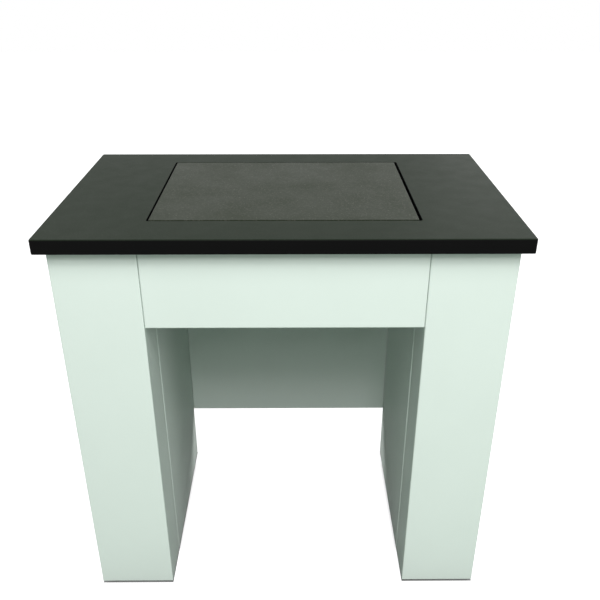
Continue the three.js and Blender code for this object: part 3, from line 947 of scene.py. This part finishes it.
# A cone that takes the corners off a hexagon's upper or lower face
def chamferCone(tree, across, height, isUpper):
    shape = fastenerShape
    face = mathNode(tree, "MULTIPLY", across, shape["faceShare"])
    narrow = mathNode(tree, "SUBTRACT", face, mathNode(tree, "MULTIPLY", height, shape["coneTip"]))
    wide = mathNode(tree, "ADD", face, mathNode(tree, "MULTIPLY", height, shape["coneBase"]))
    depth = mathNode(tree, "MULTIPLY", height, shape["coneDepth"])
    cone = addNode(tree, "GeometryNodeMeshCone", {
        "Vertices": shape["coneSides"], "Radius Top": narrow, "Radius Bottom": wide, "Depth": depth})
    shift = mathNode(tree, "MULTIPLY", depth, -0.5 if isUpper else 0.5)
    return moveNode(tree, cone.outputs[0], shift, 0.0 if isUpper else math.pi)


def randomNode(tree, given, lowest, highest):
    sockets = {2: lowest, 3: highest, "Seed": given.outputs["Seed"]}
    return addNode(tree, "FunctionNodeRandomValue", sockets, data_type="FLOAT").outputs[1]


def setOnPoints(tree, given, result, fastener):
    turn = randomNode(tree, given, 0.0, math.pi)
    spun = addNode(tree, "ShaderNodeCombineXYZ", {"Z": turn}).outputs[0]
    rotation = addNode(tree, "FunctionNodeEulerToRotation", {0: spun}).outputs[0]
    facing = addNode(tree, "GeometryNodeInputNamedAttribute", {"Name": "facing"}, data_type="FLOAT_VECTOR")
    aligned = addNode(tree, "FunctionNodeAlignRotationToVector", {
        "Rotation": rotation, "Vector": facing.outputs[0]}, axis="Z")
    placed = addNode(tree, "GeometryNodeInstanceOnPoints", {
        "Points": given.outputs["Points"], "Instance": fastener, "Rotation": aligned.outputs[0]})
    endTree(tree, given, result, placed.outputs[0])


def endTree(tree, given, result, instances):
    real = addNode(tree, "GeometryNodeRealizeInstances", {"Geometry": instances})
    dressed = addNode(tree, "GeometryNodeSetMaterial", {
        "Geometry": real.outputs[0], "Material": given.outputs["Finish"]})
    tree.links.new(dressed.outputs[0], result.inputs["Geometry"])


def growingTree(name, start, sizes):
    inputs = {start: "Geometry", **{label: "Float" for label in sizes}, "Seed": "Int", "Finish": "Material"}
    return newTree(name, "GeometryNodeTree", inputs, {"Geometry": "Geometry"})


def makeNutTree():
    tree, given, result = growingTree("hexNuts", "Points", ("Across", "Height", "Bore"))
    across, height, bore = (given.outputs[label] for label in ("Across", "Height", "Bore"))
    cones = [chamferCone(tree, across, height, isUpper) for isUpper in (True, False)]
    body = booleanNode(tree, "INTERSECT", hexPrism(tree, across, height), cones)
    drill = roundBar(tree, bore, mathNode(tree, "MULTIPLY", height, fastenerShape["boreReach"]))
    nut = booleanNode(tree, "DIFFERENCE", body, [drill])
    setOnPoints(tree, given, result, moveNode(tree, nut, mathNode(tree, "MULTIPLY", height, 0.5)))
    return tree


def makeBoltTree():
    tree, given, result = growingTree("hexBolts", "Points", ("Across", "Height", "Washer"))
    across, height, washer = (given.outputs[label] for label in ("Across", "Height", "Washer"))
    cone = chamferCone(tree, across, height, True)
    head = booleanNode(tree, "INTERSECT", hexPrism(tree, across, height), [cone])
    headMiddle = mathNode(tree, "ADD", washer, mathNode(tree, "MULTIPLY", height, 0.5))
    plate = roundBar(tree, mathNode(tree, "MULTIPLY", across, fastenerShape["washerShare"]), washer)
    both = addNode(tree, "GeometryNodeJoinGeometry")
    tree.links.new(moveNode(tree, head, headMiddle), both.inputs[0])
    tree.links.new(moveNode(tree, plate, mathNode(tree, "MULTIPLY", washer, 0.5)), both.inputs[0])
    setOnPoints(tree, given, result, both.outputs[0])
    return tree


def makeScrewTree():
    tree, given, result = growingTree("panScrews", "Points", ("Head", "Dome", "Recess"))
    head, dome, recess = (given.outputs[label] for label in ("Head", "Dome", "Recess"))
    cap = mathNode(tree, "MULTIPLY", dome, fastenerShape["capShare"])
    radius = mathNode(tree, "MULTIPLY", head, 0.5)
    squares = mathNode(tree, "ADD", mathNode(tree, "POWER", radius, 2.0), mathNode(tree, "POWER", cap, 2.0))
    ballRadius = mathNode(tree, "DIVIDE", squares, mathNode(tree, "MULTIPLY", cap, 2.0))
    ball = addNode(tree, "GeometryNodeMeshUVSphere", {
        "Segments": fastenerShape["roundSides"], "Rings": fastenerShape["ballRings"], "Radius": ballRadius})
    lowered = moveNode(tree, ball.outputs[0], mathNode(tree, "SUBTRACT", dome, ballRadius))
    drum = moveNode(tree, roundBar(tree, head, mathNode(tree, "MULTIPLY", dome, 2.0)), dome)
    button = booleanNode(tree, "INTERSECT", lowered, [drum])
    arm = mathNode(tree, "MULTIPLY", head, fastenerShape["slotShare"])
    slots = []
    for width, length in ((arm, recess), (recess, arm)):
        size = addNode(tree, "ShaderNodeCombineXYZ", {"X": width, "Y": length, "Z": dome}).outputs[0]
        slots.append(moveNode(tree, addNode(tree, "GeometryNodeMeshCube", {"Size": size}).outputs[0], dome))
    setOnPoints(tree, given, result, booleanNode(tree, "DIFFERENCE", button, slots))
    return tree


def makeWeldTree():
    tree, given, result = growingTree("weldBeads", "Path", ("Radius", "Step"))
    curve = addNode(tree, "GeometryNodeMeshToCurve", {0: given.outputs["Path"]}).outputs[0]
    even = addNode(tree, "GeometryNodeResampleCurve", {
        "Curve": curve, "Length": given.outputs["Step"]}, mode="LENGTH")
    drop = addNode(tree, "GeometryNodeMeshIcoSphere", {
        "Radius": given.outputs["Radius"], "Subdivisions": weldShape["dropSteps"]})
    swell = randomNode(tree, given, *weldShape["swell"])
    beads = addNode(tree, "GeometryNodeInstanceOnPoints", {
        "Points": even.outputs[0], "Instance": drop.outputs[0], "Scale": swell})
    endTree(tree, given, result, beads.outputs[0])
    return tree


# Runs a tree on a bare mesh and keeps the plain result
def grownPiece(name, tree, mesh, values):
    host = bpy.data.objects.new(name + "Host", mesh)
    scene.collection.objects.link(host)
    modifier = host.modifiers.new("grow", "NODES")
    modifier.node_group = tree
    sockets = {item.name: item.identifier for item in tree.interface.items_tree if item.in_out == "INPUT"}
    for label, value in values.items():
        modifier[sockets[label]] = value
    bpy.context.view_layer.update()
    grown = host.evaluated_get(bpy.context.evaluated_depsgraph_get())
    data = bpy.data.meshes.new_from_object(grown)
    host.modifiers.remove(modifier)
    bpy.data.objects.remove(host)
    return placeMesh(name, data, modelling["sharpAngle"])


def facingPoints(name, places):
    mesh = bpy.data.meshes.new(name + "Points")
    mesh.from_pydata([place for place, way in places], [], [])
    facing = mesh.attributes.new("facing", "FLOAT_VECTOR", "POINT")
    for index, (place, way) in enumerate(places):
        facing.data[index].vector = way
    return mesh


def grownFasteners(name, tree, places, sizes, seed):
    values = {**sizes, "Seed": seed, "Finish": finishes["zinc_steel"]}
    return grownPiece(name, tree, facingPoints(name, places), values)


nutTree = makeNutTree()
boltTree = makeBoltTree()
screwTree = makeScrewTree()
weldTree = makeWeldTree()

# Hexagon nuts take the place and the size of the frame's own
nutSets = (
    {"piece": "mountTopNuts", "node": "mount_top_nut_", "body": "floating_slab", "bore": 8.0 * mm, "seed": 3},
    {"piece": "mountLowerNuts", "node": "mount_lower_nut_", "body": "table", "bore": 8.0 * mm, "seed": 5},
    {"piece": "footNuts", "node": "foot_nut_", "body": "table", "bore": 10.0 * mm, "seed": 7},
)


def makeNuts(nuts):
    names = [nuts["node"] + corner for corner in corners]
    low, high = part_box(names[0])
    places = [(nodeMiddle(name)[0], (0, 0, 1)) for name in names]
    sizes = {"Across": high.y - low.y, "Height": high.z - low.z, "Bore": nuts["bore"]}
    piece = grownFasteners(nuts["piece"], nutTree, places, sizes, nuts["seed"])
    finishPiece(piece, "zinc_steel", nuts["body"], names)


for nuts in nutSets:
    makeNuts(nuts)

# Bolts through the end plates of the beams, seen from inside the channels
beamNodes = ("front_beam", "rear_beam")
beamBolts = {"across": 13.0 * mm, "height": 5.3 * mm, "washer": 1.6 * mm, "apart": 30.0 * mm,
             "endPlate": 5.0 * mm, "above": 18.0 * mm, "seed": 11}


def makeBeamBolts(look):
    places = []
    for nodeName in beamNodes:
        low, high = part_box(nodeName)
        for shift in (-look["apart"] / 2, look["apart"] / 2):
            y, z = (low.y + high.y) / 2 + shift, low.z + look["above"]
            places.append(((low.x + look["endPlate"], y, z), (1, 0, 0)))
            places.append(((high.x - look["endPlate"], y, z), (-1, 0, 0)))
    sizes = {"Across": look["across"], "Height": look["height"], "Washer": look["washer"]}
    piece = grownFasteners("beamBolts", boltTree, places, sizes, look["seed"])
    finishPiece(piece, "zinc_steel", "table")


makeBeamBolts(beamBolts)

# Screws through the side flanges of the apron and the back panel, from inside
flangeScrews = {"head": 6.6 * mm, "dome": 2.6 * mm, "recess": 0.9 * mm, "fromBack": 4.6 * mm,
                "endMargin": 40.0 * mm, "apart": 180.0 * mm, "seed": 13}


def makeFlangeScrews(look):
    places = []
    for nodeName in ("front_apron", "back_panel"):
        low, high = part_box(nodeName)
        span = high.z - low.z - 2 * look["endMargin"]
        count = max(1, round(span / look["apart"]))
        for index in range(count + 1):
            z = low.z + look["endMargin"] + span * index / count
            places.append(((low.x + thinSheet["sheet"], high.y - look["fromBack"], z), (1, 0, 0)))
            places.append(((high.x - thinSheet["sheet"], high.y - look["fromBack"], z), (-1, 0, 0)))
    sizes = {"Head": look["head"], "Dome": look["dome"], "Recess": look["recess"]}
    piece = grownFasteners("flangeScrews", screwTree, places, sizes, look["seed"])
    finishPiece(piece, "zinc_steel", "table")


makeFlangeScrews(flangeScrews)

# Weld beads where each beam meets its end plates
beamWelds = {"radius": 1.8 * mm, "step": 1.6 * mm, "seed": 17}


def makeBeamWelds(look):
    points, edges = [], []
    for nodeName in beamNodes:
        low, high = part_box(nodeName)
        for x in (low.x + beamBolts["endPlate"], high.x - beamBolts["endPlate"]):
            first = len(points)
            points += [(x, low.y, low.z), (x, low.y, high.z), (x, high.y, high.z), (x, high.y, low.z)]
            edges += [(first + step, first + step + 1) for step in range(3)]
    mesh = bpy.data.meshes.new("beamWeldPath")
    mesh.from_pydata(points, edges, [])
    values = {"Radius": look["radius"], "Step": look["step"], "Seed": look["seed"],
              "Finish": finishes["frame_paint"]}
    finishPiece(grownPiece("beamWelds", weldTree, mesh, values), "frame_paint", "table")


makeBeamWelds(beamWelds)
print("fasteners and welds made")
